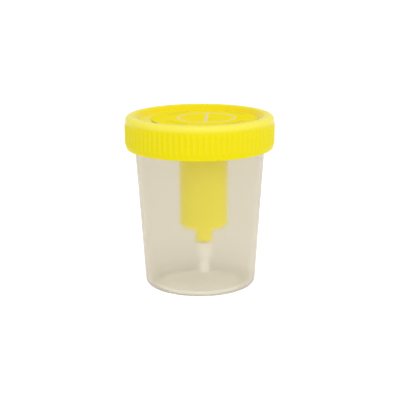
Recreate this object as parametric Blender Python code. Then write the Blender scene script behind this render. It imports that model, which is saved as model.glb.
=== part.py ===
"""Specimen cup with a quick-turn screw lid and a built-in vacuum tube transfer well.

A translucent tapered cup closes with a ribbed lid. The lid's recessed top has an off-centre
round opening that holds a tube well. A double-ended needle stands in the well inside a rubber
sleeve, and its lower end opens into a straw that reaches down to the cup's floor. A round
label closes the well's mouth and peels back when a vacuum tube is to be pushed in.

Units are metres, +Z is up, and the origin is the middle of the cup's underside.
Run with: blender --background --python part.py
"""
import math

import bmesh
import bpy
from mathutils import Vector

# ---------------------------------------------------------------- shared clearances
SEAT_GAP = 0.0003           # between two pieces that touch on the real object
NEEDLE_RUNNING_GAP = 0.0001  # around the needle where the sleeve's tip slides on it

# ---------------------------------------------------------------- cup
CUP_HEIGHT = 0.0718         # ground to rim
NECK_RADIUS = 0.0284        # outside of the straight threaded neck
NECK_HEIGHT = 0.0096        # straight part below the rim
CUP_TAPER = math.radians(3.92)
CUP_WALL = 0.0012
CUP_RIM_ROUND = 0.0004
BASE_CORNER = 0.0036        # outer radius where the wall turns into the base
BASE_CORNER_INNER = 0.0026
FLOOR_THICKNESS = 0.0014
STANDING_RING_HEIGHT = 0.0008  # the floor is raised by this inside the ring the cup stands on
STANDING_RING_WIDTH = 0.0022

# ---------------------------------------------------------------- quick-turn thread
THREAD_STARTS = 4
THREAD_LEAD = 0.0100        # rise for a whole turn
THREAD_DEPTH = 0.0013       # how far a ridge stands out of its wall
THREAD_CLEARANCE = 0.0005   # from a ridge's tip to the facing wall
RIDGE_ROOT = 0.0019         # width along the axis where a ridge leaves the wall
RIDGE_TIP = 0.0010
RIDGE_SINK = 0.0003         # how far a ridge's foot reaches into the wall it grows from
RIDGE_SWEEP = math.radians(62.0)
RIDGE_BELOW_RIM = 0.0050    # rim down to the middle of a ridge's low end
RIDGE_START = math.radians(1.7)  # first ridge's low end, from +X
LUG_SWEEP = math.radians(20.0)
LUG_LEAD_IN = math.radians(2.0)  # from a ridge's low end to the near end of its lug
RUN_OUT = 0.15              # height left at the ends of a ridge, as a share of its depth

# ---------------------------------------------------------------- seal
SEAL_THICKNESS = 0.0012

# ---------------------------------------------------------------- lid
LID_HEIGHT = 0.0149         # skirt's lower edge to the rim's crest
SKIRT_WALL = 0.00235        # between the ribs
RIB_COUNT = 80
RIB_DEPTH = 0.00045
RIB_RUN_OUT = 0.0007        # height over which a rib fades into the skirt
SKIRT_EASE = 0.0002         # the skirt is this much narrower at its lower edge
SHOULDER_RADIUS = 0.00381   # outer rounding of the raised rim
CREST_ROUND = 0.0005        # inner rounding of the raised rim's crest
CREST_RISE = 0.0027         # seal channel up to the crest
RIM_SLOPE_WIDTH = 0.0031    # crest to the edge of the recess's flat floor
RECESS_DEPTH = 0.0021
PLATE_THICKNESS = 0.0015
SKIRT_CORNER = 0.0022       # outer rounding of the skirt's lower edge
PLUG_WALL = 0.0010          # ring under the plate that enters the cup's mouth
PLUG_DEPTH = 0.0030
COLLAR_WALL = 0.0036        # thickened ring around the well's opening, under the plate
COLLAR_DEPTH = 0.0022

# ---------------------------------------------------------------- tube well
WELL_OFFSET = 0.0017        # well's axis, towards +X of the lid's axis
WELL_BORE = 0.0093          # takes the stopper of a standard vacuum tube
WELL_WALL = 0.0013
WELL_ABOVE_FLOOR = 0.0240   # cup's inner floor to the well's underside
WELL_CORNER = 0.0018
WELL_FLOOR = 0.0015
FLANGE_WIDTH = 0.0020
FLANGE_THICKNESS = 0.0012
NECK_TUBE_BORE = 0.0027
NECK_TUBE_WALL = 0.00105
NECK_TUBE_LENGTH = 0.0067

# ---------------------------------------------------------------- needle, hub and sleeve
NEEDLE_RADIUS = 0.0005
NEEDLE_BORE = 0.0003
NEEDLE_ABOVE_WELL_FLOOR = 0.0200
NEEDLE_BELOW_HUB = 0.0020
NEEDLE_POINT = 0.0018       # height of the slanted cut at the upper end
HUB_FLANGE_RADIUS = 0.0040
HUB_FLANGE_THICKNESS = 0.0018
HUB_NOSE_RADIUS = 0.0017
HUB_NOSE_HEIGHT = 0.0015
HUB_STEM_LENGTH = 0.0058
SLEEVE_WALL = 0.0007
SLEEVE_OVER_NEEDLE = 0.0027  # needle's point to the top of the sleeve's dome
SLEEVE_TIP_SKIRT = 0.0033   # straight part of the tip below its dome

# ---------------------------------------------------------------- straw and its socket
SOCKET_RADIUS = 0.0036
SOCKET_LENGTH = 0.0065
SOCKET_SPIGOT_LENGTH = 0.0020
SOCKET_BORE = 0.0015
SOCKET_STEP_LENGTH = 0.0046  # depth of the counterbore that takes the straw
SOCKET_CHAMFER = 0.0004
STRAW_RADIUS = 0.0021
STRAW_WALL = 0.0007
STRAW_ABOVE_FLOOR = 0.0027

# ---------------------------------------------------------------- label
LABEL_THICKNESS = 0.0003
LABEL_EDGE_GAP = 0.00025    # to the nearest point of the recess's slope
LABEL_OFFSET = 0.0021       # label's middle, towards +X of the lid's axis
FOLD_BEYOND_FLANGE = 0.0011  # well flange's edge to the label's fold line

# ---------------------------------------------------------------- facets
CUP_SIDES = 72
LID_SIDES = RIB_COUNT
WELL_SIDES = 40
SMALL_SIDES = 20
NEEDLE_SIDES = 12
CORNER_STEPS = 4
SHARP_ANGLE = math.radians(35.0)

# ---------------------------------------------------------------- sizes that follow
CUP_FLOOR_Z = STANDING_RING_HEIGHT + FLOOR_THICKNESS
MOUTH_RADIUS = NECK_RADIUS - CUP_WALL
NECK_Z = CUP_HEIGHT - NECK_HEIGHT
BASE_RADIUS = NECK_RADIUS - (NECK_Z - BASE_CORNER) * math.tan(CUP_TAPER)

SEAL_Z = CUP_HEIGHT + SEAT_GAP
CHANNEL_Z = SEAL_Z + SEAL_THICKNESS + SEAT_GAP
CREST_Z = CHANNEL_Z + CREST_RISE
SKIRT_Z = CREST_Z - LID_HEIGHT
RECESS_Z = CREST_Z - RECESS_DEPTH
PLATE_Z = RECESS_Z - PLATE_THICKNESS
SKIRT_BORE = NECK_RADIUS + THREAD_DEPTH + THREAD_CLEARANCE
SKIRT_RADIUS = SKIRT_BORE + SKIRT_WALL
CREST_RADIUS = SKIRT_RADIUS - SHOULDER_RADIUS
RECESS_RADIUS = CREST_RADIUS - RIM_SLOPE_WIDTH
PLUG_RADIUS = MOUTH_RADIUS - SEAT_GAP
LUG_DROP = RIDGE_ROOT + SEAT_GAP  # a lug's middle below the middle of its ridge

WELL_RADIUS = WELL_BORE + WELL_WALL
FLANGE_RADIUS = WELL_RADIUS + FLANGE_WIDTH
OPENING_RADIUS = WELL_RADIUS + SEAT_GAP
COUNTERBORE_Z = RECESS_Z - FLANGE_THICKNESS - SEAT_GAP
WELL_BOTTOM_Z = CUP_FLOOR_Z + WELL_ABOVE_FLOOR
WELL_FLOOR_Z = WELL_BOTTOM_Z + WELL_FLOOR
NECK_TUBE_Z = WELL_BOTTOM_Z - NECK_TUBE_LENGTH
NECK_TUBE_RADIUS = NECK_TUBE_BORE + NECK_TUBE_WALL

HUB_Z = WELL_FLOOR_Z + SEAT_GAP
HUB_NOSE_Z = HUB_Z + HUB_FLANGE_THICKNESS
HUB_STEM_RADIUS = NECK_TUBE_BORE - SEAT_GAP
HUB_STEM_Z = WELL_FLOOR_Z - HUB_STEM_LENGTH
HUB_BORE = NEEDLE_RADIUS + SEAT_GAP
NEEDLE_TOP_Z = WELL_FLOOR_Z + NEEDLE_ABOVE_WELL_FLOOR
NEEDLE_BOTTOM_Z = HUB_STEM_Z - NEEDLE_BELOW_HUB
SLEEVE_BORE = HUB_NOSE_RADIUS + SEAT_GAP
SLEEVE_RADIUS = SLEEVE_BORE + SLEEVE_WALL
SLEEVE_Z = HUB_NOSE_Z + SEAT_GAP
SLEEVE_DOME_Z = NEEDLE_TOP_Z + SLEEVE_OVER_NEEDLE - SLEEVE_RADIUS
SLEEVE_TIP_Z = SLEEVE_DOME_Z - SLEEVE_TIP_SKIRT
SLEEVE_BARREL_TOP_Z = SLEEVE_TIP_Z - SEAT_GAP
SLEEVE_PIERCING = NEEDLE_RADIUS + NEEDLE_RUNNING_GAP

SOCKET_TOP_Z = NECK_TUBE_Z - SEAT_GAP
SOCKET_Z = SOCKET_TOP_Z - SOCKET_LENGTH
STRAW_TOP_Z = SOCKET_Z + SOCKET_STEP_LENGTH - SEAT_GAP
STRAW_Z = CUP_FLOOR_Z + STRAW_ABOVE_FLOOR

LABEL_RADIUS = RECESS_RADIUS - LABEL_OFFSET - LABEL_EDGE_GAP
LABEL_Z = RECESS_Z + SEAT_GAP
FOLD_X = WELL_OFFSET + FLANGE_RADIUS + FOLD_BEYOND_FLANGE


# ---------------------------------------------------------------- helpers
def clear_scene():
    for scene_object in list(bpy.data.objects):
        bpy.data.objects.remove(scene_object, do_unlink=True)


def make_material(name, colour, roughness, metallic=0.0, alpha=1.0):
    material = bpy.data.materials.new(name)
    material.use_nodes = True
    shader = material.node_tree.nodes["Principled BSDF"]
    shader.inputs["Base Color"].default_value = (*colour, 1.0)
    shader.inputs["Roughness"].default_value = roughness
    shader.inputs["Metallic"].default_value = metallic
    shader.inputs["Alpha"].default_value = alpha
    return material


def arc(centre_r, centre_z, radius_r, radius_z, from_deg, to_deg, steps=CORNER_STEPS):
    """Points along an elliptical arc in the (radius, height) plane, both ends included."""
    points = []
    for step in range(steps + 1):
        angle = math.radians(from_deg + (to_deg - from_deg) * step / steps)
        points.append((centre_r + radius_r * math.cos(angle), centre_z + radius_z * math.sin(angle)))
    return points


def finish_object(name, mesh_data, material, x=0.0):
    """Put a bmesh into a named object, its faces outward, round parts shaded smooth."""
    bmesh.ops.recalc_face_normals(mesh_data, faces=mesh_data.faces)
    mesh = bpy.data.meshes.new(name)
    mesh_data.to_mesh(mesh)
    mesh_data.free()
    mesh.materials.append(material)
    mesh.shade_smooth()
    mesh.set_sharp_from_angle(angle=SHARP_ANGLE)
    scene_object = bpy.data.objects.new(name, mesh)
    scene_object.location.x = x
    bpy.context.collection.objects.link(scene_object)
    return scene_object


def turned(name, outline, sides, material, x=0.0):
    """Spin a closed (radius, height) outline about a vertical axis through x."""
    mesh_data = bmesh.new()
    vertices = [mesh_data.verts.new((radius, 0.0, height)) for radius, height in outline]
    edges = []
    for first, second in zip(vertices, vertices[1:] + vertices[:1]):
        on_axis = first.co.x < 1e-9 and second.co.x < 1e-9
        if not on_axis:
            edges.append(mesh_data.edges.new((first, second)))
    bmesh.ops.spin(
        mesh_data, geom=vertices + edges, cent=(0.0, 0.0, 0.0), axis=(0.0, 0.0, 1.0),
        angle=math.tau, steps=sides, use_merge=True, use_duplicate=False,
    )
    bmesh.ops.remove_doubles(mesh_data, verts=mesh_data.verts, dist=1e-6)
    return finish_object(name, mesh_data, material, x)


def add_ring(mesh_data, radii, height):
    """A level ring of vertices, one for each radius in the list."""
    ring = []
    for index, radius in enumerate(radii):
        angle = math.tau * index / len(radii)
        ring.append(mesh_data.verts.new((radius * math.cos(angle), radius * math.sin(angle), height)))
    return ring


def bridge_rings(mesh_data, first, second):
    """Join two rings of equal counts with quads, or a ring to one twice as fine with triangles."""
    if len(first) > len(second):
        first, second = second, first
    count = len(first)
    for index in range(count):
        after = (index + 1) % count
        if len(second) == count:
            mesh_data.faces.new((first[index], first[after], second[after], second[index]))
        else:
            near, middle = second[2 * index], second[2 * index + 1]
            far = second[(2 * index + 2) % len(second)]
            mesh_data.faces.new((first[index], middle, near))
            mesh_data.faces.new((first[index], first[after], middle))
            mesh_data.faces.new((first[after], far, middle))


def modify_with(scene_object, guide, operation):
    """Add or subtract a guide body with an exact Boolean and leave the guide out of the build."""
    boolean = scene_object.modifiers.new(guide.name, "BOOLEAN")
    boolean.object = guide
    boolean.operation = operation
    boolean.solver = "EXACT"
    guide.hide_render = True
    guide.display_type = "WIRE"


def thread_ridges(name, wall_radius, tip_radius, sweep, first_angle, low_z, material):
    """One ridge per thread start: a tapering bar swept along a right-hand helix on a wall.

    The bar's foot reaches RIDGE_SINK into the wall, whichever side of the wall it stands on.
    """
    mesh_data = bmesh.new()
    outward = 1.0 if tip_radius > wall_radius else -1.0
    foot_radius = wall_radius - outward * RIDGE_SINK
    steps = max(3, round(math.degrees(sweep) / 6.0))
    for start in range(THREAD_STARTS):
        sections = []
        for step in range(steps + 1):
            along = sweep * step / steps
            angle = first_angle + along + math.tau * start / THREAD_STARTS
            middle = low_z + THREAD_LEAD * along / math.tau
            at_end = step in (0, steps)
            height_share = RUN_OUT if at_end else 1.0
            reach = wall_radius + (tip_radius - wall_radius) * height_share
            corners = (
                (foot_radius, middle - RIDGE_ROOT / 2), (foot_radius, middle + RIDGE_ROOT / 2),
                (reach, middle + RIDGE_TIP / 2), (reach, middle - RIDGE_TIP / 2),
            )
            sections.append([
                mesh_data.verts.new((radius * math.cos(angle), radius * math.sin(angle), height))
                for radius, height in corners
            ])
        for before, after in zip(sections, sections[1:]):
            for corner in range(4):
                following = (corner + 1) % 4
                mesh_data.faces.new((before[corner], before[following], after[following], after[corner]))
        mesh_data.faces.new(sections[0])
        mesh_data.faces.new(sections[-1])
    return finish_object(name, mesh_data, material)


# ---------------------------------------------------------------- pieces
def make_cup(material):
    """Tapered cup on a low standing ring, with a straight threaded neck."""
    inner_floor_r = BASE_RADIUS - CUP_WALL - BASE_CORNER_INNER
    ring_outer = BASE_RADIUS - BASE_CORNER
    outside = [(0.0, STANDING_RING_HEIGHT)]
    outside += [(ring_outer - STANDING_RING_WIDTH - STANDING_RING_HEIGHT, STANDING_RING_HEIGHT)]
    outside += [(ring_outer - STANDING_RING_WIDTH, 0.0)]
    outside += arc(ring_outer, BASE_CORNER, BASE_CORNER, BASE_CORNER, -90.0, 0.0)
    outside += [(NECK_RADIUS, NECK_Z)]
    rim_z = CUP_HEIGHT - CUP_RIM_ROUND
    rim = [
        (NECK_RADIUS, rim_z), (NECK_RADIUS - CUP_RIM_ROUND, CUP_HEIGHT),
        (MOUTH_RADIUS + CUP_RIM_ROUND, CUP_HEIGHT), (MOUTH_RADIUS, rim_z), (MOUTH_RADIUS, NECK_Z),
    ]
    inner_corner = arc(
        inner_floor_r, CUP_FLOOR_Z + BASE_CORNER_INNER, BASE_CORNER_INNER, BASE_CORNER_INNER, 0.0, -90.0,
    )
    cup = turned("cup_body", outside + rim + inner_corner + [(0.0, CUP_FLOOR_Z)], CUP_SIDES, material)
    ridges = thread_ridges(
        "cup_ridges", NECK_RADIUS, NECK_RADIUS + THREAD_DEPTH, RIDGE_SWEEP, RIDGE_START,
        CUP_HEIGHT - RIDGE_BELOW_RIM, material,
    )
    modify_with(cup, ridges, "UNION")


def make_seal(material):
    """Flat ring between the cup's rim and the lid."""
    low, high = SEAL_Z, SEAL_Z + SEAL_THICKNESS
    inner, outer = PLUG_RADIUS + SEAT_GAP, SKIRT_BORE - SEAT_GAP
    turned("lid_seal", [(inner, low), (outer, low), (outer, high), (inner, high)], CUP_SIDES, material)


def lid_rows():
    """The lid's section from the middle of its top round to the middle of its underside.

    Each row is (radius, height, rib height): a rib height makes the row twice as fine, with
    every other vertex standing out by it.
    """
    shoulder_z = CREST_Z - SHOULDER_RADIUS
    low_radius = SKIRT_RADIUS - SKIRT_EASE
    corner_z = SKIRT_Z + SKIRT_CORNER
    rows = [(RECESS_RADIUS, RECESS_Z, 0.0)]
    rows += [(CREST_RADIUS - CREST_ROUND, CREST_Z - CREST_ROUND, 0.0)]
    rows += [(r, z, 0.0) for r, z in arc(CREST_RADIUS, shoulder_z, SHOULDER_RADIUS, SHOULDER_RADIUS, 90.0, 0.0)]
    rows += [(SKIRT_RADIUS, shoulder_z - RIB_RUN_OUT, RIB_DEPTH)]
    rows += [(low_radius, corner_z + RIB_RUN_OUT, RIB_DEPTH)]
    corner = arc(low_radius - SKIRT_CORNER, corner_z, SKIRT_CORNER, SKIRT_CORNER, 0.0, -90.0)
    rows += [(max(r, SKIRT_BORE + SEAT_GAP), z, 0.0) for r, z in corner]
    rows += [(SKIRT_BORE, SKIRT_Z + SEAT_GAP, 0.0), (SKIRT_BORE, CHANNEL_Z, 0.0)]
    rows += [(PLUG_RADIUS, CHANNEL_Z, 0.0), (PLUG_RADIUS, PLATE_Z - PLUG_DEPTH + PLUG_WALL / 2, 0.0)]
    rows += [(PLUG_RADIUS - PLUG_WALL / 2, PLATE_Z - PLUG_DEPTH, 0.0)]
    rows += [(PLUG_RADIUS - PLUG_WALL, PLATE_Z - PLUG_DEPTH, 0.0)]
    rows += [(PLUG_RADIUS - PLUG_WALL, PLATE_Z, 0.0)]
    return rows


def make_lid(material):
    """Ribbed lid with a raised rim, a recessed plate and an off-centre opening for the well."""
    mesh_data = bmesh.new()
    rings = []
    for radius, height, rib in lid_rows():
        if rib:
            radii = [radius + rib, radius] * LID_SIDES
        else:
            radii = [radius] * LID_SIDES
        rings.append(add_ring(mesh_data, radii, height))
    for first, second in zip(rings, rings[1:]):
        bridge_rings(mesh_data, first, second)
    mesh_data.faces.new(rings[0])
    mesh_data.faces.new(rings[-1])
    lid = finish_object("screw_lid", mesh_data, material)

    lugs = thread_ridges(
        "lid_lugs", SKIRT_BORE, SKIRT_BORE - THREAD_DEPTH, LUG_SWEEP, RIDGE_START + LUG_LEAD_IN,
        CUP_HEIGHT - RIDGE_BELOW_RIM - LUG_DROP + THREAD_LEAD * LUG_LEAD_IN / math.tau, material,
    )
    modify_with(lid, lugs, "UNION")

    collar_radius = OPENING_RADIUS + COLLAR_WALL
    collar_outline = [
        (0.0, PLATE_Z - COLLAR_DEPTH), (collar_radius, PLATE_Z - COLLAR_DEPTH),
        (collar_radius, PLATE_Z + PLATE_THICKNESS / 2), (0.0, PLATE_Z + PLATE_THICKNESS / 2),
    ]
    collar = turned("lid_collar", collar_outline, WELL_SIDES, material, WELL_OFFSET)
    modify_with(lid, collar, "UNION")

    counterbore_radius = FLANGE_RADIUS + SEAT_GAP
    above, below = CREST_Z, PLATE_Z - 2 * COLLAR_DEPTH
    opening_outline = [
        (0.0, below), (OPENING_RADIUS, below), (OPENING_RADIUS, COUNTERBORE_Z),
        (counterbore_radius, COUNTERBORE_Z), (counterbore_radius, above), (0.0, above),
    ]
    opening = turned("lid_opening", opening_outline, WELL_SIDES, material, WELL_OFFSET)
    modify_with(lid, opening, "DIFFERENCE")


def make_well(material):
    """Tube well: a flange in the lid's counterbore, a long cup and a narrow tube under it."""
    outline = [(NECK_TUBE_BORE, NECK_TUBE_Z), (NECK_TUBE_RADIUS, NECK_TUBE_Z)]
    outline += [(NECK_TUBE_RADIUS, WELL_BOTTOM_Z)]
    outline += arc(WELL_RADIUS - WELL_CORNER, WELL_BOTTOM_Z + WELL_CORNER, WELL_CORNER, WELL_CORNER, -90.0, 0.0)
    flange_z = RECESS_Z - FLANGE_THICKNESS
    outline += [(WELL_RADIUS, flange_z), (FLANGE_RADIUS, flange_z)]
    outline += [(FLANGE_RADIUS, RECESS_Z), (WELL_BORE, RECESS_Z)]
    outline += [(WELL_BORE, WELL_FLOOR_Z), (NECK_TUBE_BORE, WELL_FLOOR_Z)]
    turned("tube_well", outline, WELL_SIDES, material, WELL_OFFSET)


def make_hub(material):
    """Hub in the well's floor: stem below, flange on the floor, nose for the sleeve."""
    outline = [
        (HUB_BORE, HUB_STEM_Z), (HUB_STEM_RADIUS, HUB_STEM_Z), (HUB_STEM_RADIUS, HUB_Z),
        (HUB_FLANGE_RADIUS, HUB_Z), (HUB_FLANGE_RADIUS, HUB_NOSE_Z), (HUB_NOSE_RADIUS, HUB_NOSE_Z),
        (HUB_NOSE_RADIUS, HUB_NOSE_Z + HUB_NOSE_HEIGHT), (HUB_BORE, HUB_NOSE_Z + HUB_NOSE_HEIGHT),
    ]
    turned("needle_hub", outline, SMALL_SIDES, material, WELL_OFFSET)


def make_needle(material):
    """Steel tube open at both ends, its upper end cut to a slanted point."""
    outline = [
        (NEEDLE_BORE, NEEDLE_BOTTOM_Z), (NEEDLE_RADIUS, NEEDLE_BOTTOM_Z),
        (NEEDLE_RADIUS, NEEDLE_TOP_Z), (NEEDLE_BORE, NEEDLE_TOP_Z),
    ]
    needle = turned("cannula", outline, NEEDLE_SIDES, material, WELL_OFFSET)
    for vertex in needle.data.vertices:
        if vertex.co.z > NEEDLE_TOP_Z - NEEDLE_POINT / 2:
            vertex.co.z -= NEEDLE_POINT * (0.5 - vertex.co.x / (2 * NEEDLE_RADIUS))


def make_sleeve(material):
    """Rubber boot over the needle: a barrel that shortens and a domed tip that rides down."""
    barrel = [
        (SLEEVE_BORE, SLEEVE_Z), (SLEEVE_RADIUS, SLEEVE_Z),
        (SLEEVE_RADIUS, SLEEVE_BARREL_TOP_Z), (SLEEVE_BORE, SLEEVE_BARREL_TOP_Z),
    ]
    turned("needle_sleeve", barrel, SMALL_SIDES, material, WELL_OFFSET)

    piercing_angle = math.degrees(math.acos(SLEEVE_PIERCING / SLEEVE_RADIUS))
    inner_angle = math.degrees(math.acos(SLEEVE_PIERCING / SLEEVE_BORE))
    tip = [(SLEEVE_BORE, SLEEVE_TIP_Z), (SLEEVE_RADIUS, SLEEVE_TIP_Z)]
    tip += arc(0.0, SLEEVE_DOME_Z, SLEEVE_RADIUS, SLEEVE_RADIUS, 0.0, piercing_angle)
    tip += arc(0.0, SLEEVE_DOME_Z, SLEEVE_BORE, SLEEVE_BORE, inner_angle, 0.0)
    turned("sleeve_tip", tip, NEEDLE_SIDES * 2, material, WELL_OFFSET)


def make_socket(material):
    """Stepped connector: a spigot in the well's tube and a wider body that holds the straw."""
    spigot_radius = NECK_TUBE_BORE - SEAT_GAP
    straw_seat = STRAW_RADIUS + SEAT_GAP
    step_z = SOCKET_Z + SOCKET_STEP_LENGTH
    outline = [
        (straw_seat, SOCKET_Z), (SOCKET_RADIUS - SOCKET_CHAMFER, SOCKET_Z),
        (SOCKET_RADIUS, SOCKET_Z + SOCKET_CHAMFER), (SOCKET_RADIUS, SOCKET_TOP_Z),
        (spigot_radius, SOCKET_TOP_Z), (spigot_radius, SOCKET_TOP_Z + SOCKET_SPIGOT_LENGTH),
        (SOCKET_BORE, SOCKET_TOP_Z + SOCKET_SPIGOT_LENGTH), (SOCKET_BORE, step_z), (straw_seat, step_z),
    ]
    turned("straw_socket", outline, SMALL_SIDES, material, WELL_OFFSET)


def make_straw(material):
    """Thin straw from its socket down to just above the cup's floor."""
    inner = STRAW_RADIUS - STRAW_WALL
    outline = [(inner, STRAW_Z), (STRAW_RADIUS, STRAW_Z), (STRAW_RADIUS, STRAW_TOP_Z), (inner, STRAW_TOP_Z)]
    turned("suction_straw", outline, SMALL_SIDES, material, WELL_OFFSET)


def label_part(name, side, material):
    """The label's disc on one side of its fold line; side is +1 towards +X and -1 towards -X.

    The object's origin lies on the fold line, at the label's upper face.
    """
    fold_from_middle = FOLD_X - LABEL_OFFSET
    cut = fold_from_middle + side * SEAT_GAP / 2
    half_angle = math.acos(cut / LABEL_RADIUS)
    span = 2 * half_angle if side > 0 else math.tau - 2 * half_angle
    first = -half_angle if side > 0 else half_angle
    steps = max(4, round(span / math.tau * CUP_SIDES))
    mesh_data = bmesh.new()
    ring = []
    for step in range(steps + 1):
        angle = first + span * step / steps
        x = LABEL_RADIUS * math.cos(angle) - fold_from_middle
        ring.append(mesh_data.verts.new((x, LABEL_RADIUS * math.sin(angle), -LABEL_THICKNESS)))
    face = mesh_data.faces.new(ring)
    grown = bmesh.ops.extrude_face_region(mesh_data, geom=[face])
    top = [item for item in grown["geom"] if isinstance(item, bmesh.types.BMVert)]
    bmesh.ops.translate(mesh_data, verts=top, vec=Vector((0.0, 0.0, LABEL_THICKNESS)))
    part = finish_object(name, mesh_data, material, FOLD_X)
    part.location.z = LABEL_Z + LABEL_THICKNESS


def make_label(material):
    """Round label in two stretches: the part that stays stuck and the part that peels back."""
    label_part("label_anchor", 1.0, material)
    label_part("label_flap", -1.0, material)


def main():
    clear_scene()
    make_cup(make_material("natural polypropylene", (0.80, 0.77, 0.66), 0.45, alpha=0.5))
    make_seal(make_material("white elastomer", (0.86, 0.86, 0.83), 0.7))
    make_lid(make_material("yellow polyethylene, lid", (0.90, 0.78, 0.02), 0.32))
    make_well(make_material("yellow polyethylene, well", (0.88, 0.76, 0.03), 0.35))
    make_hub(make_material("white polypropylene", (0.88, 0.88, 0.85), 0.4))
    make_needle(make_material("stainless steel tube", (0.66, 0.67, 0.68), 0.22, metallic=1.0))
    make_sleeve(make_material("grey isoprene rubber", (0.30, 0.31, 0.32), 0.75))
    make_socket(make_material("natural polyethylene, socket", (0.86, 0.84, 0.76), 0.4))
    make_straw(make_material("natural polyethylene, straw", (0.86, 0.85, 0.80), 0.4))
    make_label(make_material("printed film label", (0.90, 0.77, 0.05), 0.4))


main()
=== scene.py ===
"""Looks of a specimen cup with a ribbed quick-turn lid, a built-in tube well and a peel-back label.

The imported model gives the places. Every visible piece is a surface worked out here from its
section or outline, in millimetres, and turned to metres when its mesh is made.
"""
import logging
import math
from dataclasses import dataclass
from enum import Enum
from typing import Any

import bpy
import numpy as np
from bpy.types import Material, Node, NodeSocket, NodeTree, Object
from mathutils import Matrix, Vector


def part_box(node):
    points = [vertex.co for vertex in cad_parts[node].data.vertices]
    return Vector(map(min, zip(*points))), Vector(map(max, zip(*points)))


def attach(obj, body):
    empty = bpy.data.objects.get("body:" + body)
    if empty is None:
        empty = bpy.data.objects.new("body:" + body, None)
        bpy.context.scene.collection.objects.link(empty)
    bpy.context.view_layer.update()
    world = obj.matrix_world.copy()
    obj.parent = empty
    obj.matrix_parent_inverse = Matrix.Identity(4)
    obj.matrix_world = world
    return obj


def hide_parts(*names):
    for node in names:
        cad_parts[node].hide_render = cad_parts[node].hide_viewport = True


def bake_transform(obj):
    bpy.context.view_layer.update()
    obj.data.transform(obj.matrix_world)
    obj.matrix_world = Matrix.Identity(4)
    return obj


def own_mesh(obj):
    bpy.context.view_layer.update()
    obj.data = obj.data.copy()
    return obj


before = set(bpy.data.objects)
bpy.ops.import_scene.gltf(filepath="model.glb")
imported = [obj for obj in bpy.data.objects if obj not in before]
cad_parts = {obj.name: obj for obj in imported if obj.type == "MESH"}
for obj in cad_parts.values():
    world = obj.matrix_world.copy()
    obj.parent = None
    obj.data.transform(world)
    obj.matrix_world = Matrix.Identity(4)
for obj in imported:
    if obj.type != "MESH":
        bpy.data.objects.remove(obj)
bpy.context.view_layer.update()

LOG = logging.getLogger("specimen_cup")
MM = 0.001
SAG = 0.006
"""How far a fillet's chord may fall inside its arc, in millimetres."""
SIDE_SHARE = 0.49
"""How much of each side of its corner a fillet may take."""
SEAT_GAP = 0.3
"""Between two pieces that touch on the real object, in millimetres."""
NEAR = 0.05
"""How near two places count as the same one, in millimetres."""
TURN = math.tau
WELL_X = 1.7
"""How far the well's axis stands to +X of the lid's, in millimetres."""
Layers = list[tuple[Node | NodeSocket, str]]
"""Masks, each with the colour that it brings in."""
TINT_AND_PAINTED_LIGHT = "thick"
# The vertex attribute of a colour mark: on the cup it is above 0 where the wall is thicker and its tint
# deeper; on the lid it is painted shade above 0 and painted highlight below 0.
"""The vertex attribute that is above 0 where a wall is thick and below 0 where it counts as thin."""


class Body(Enum):
    """The moving bodies that pieces ride on."""

    CUP = "cup"
    SEAL = "seal"
    LID = "lid"
    SLEEVE = "sleeve"
    LABEL = "label"


class Slot(Enum):
    """The material slots."""

    CUP = "cup_polypropylene"
    LID = "lid_polyethylene"
    WELL = "well_polyethylene"
    SEAL = "seal_elastomer"
    HUB = "hub_polypropylene"
    NEEDLE = "needle_steel"
    SLEEVE = "sleeve_rubber"
    STRAW = "straw_polyethylene"
    LABEL = "label_film"


# ---------------------------------------------------------------- surfaces
def smooth_step(low: float, high: float, value: np.ndarray) -> np.ndarray:
    """Zero below low, one above high, and an even S between them.

    The sizes called rise and fall hold both, measured from the place that they belong to.

    Args:
        low: where the S starts.
        high: where it ends.
        value: the places asked about.

    Returns:
        The share at each place.
    """
    share = np.clip((value - low) / (high - low), 0.0, 1.0)
    return share * share * (3.0 - 2.0 * share)


def angles(around: int) -> np.ndarray:
    """The angles of a full turn's points, as one row."""
    return (np.arange(around) * TURN / around)[None, :]


def heights(node: str) -> tuple[float, float]:
    """A CAD node's lowest and highest z, in millimetres."""
    low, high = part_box(node)
    return low[2] / MM, high[2] / MM


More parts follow.
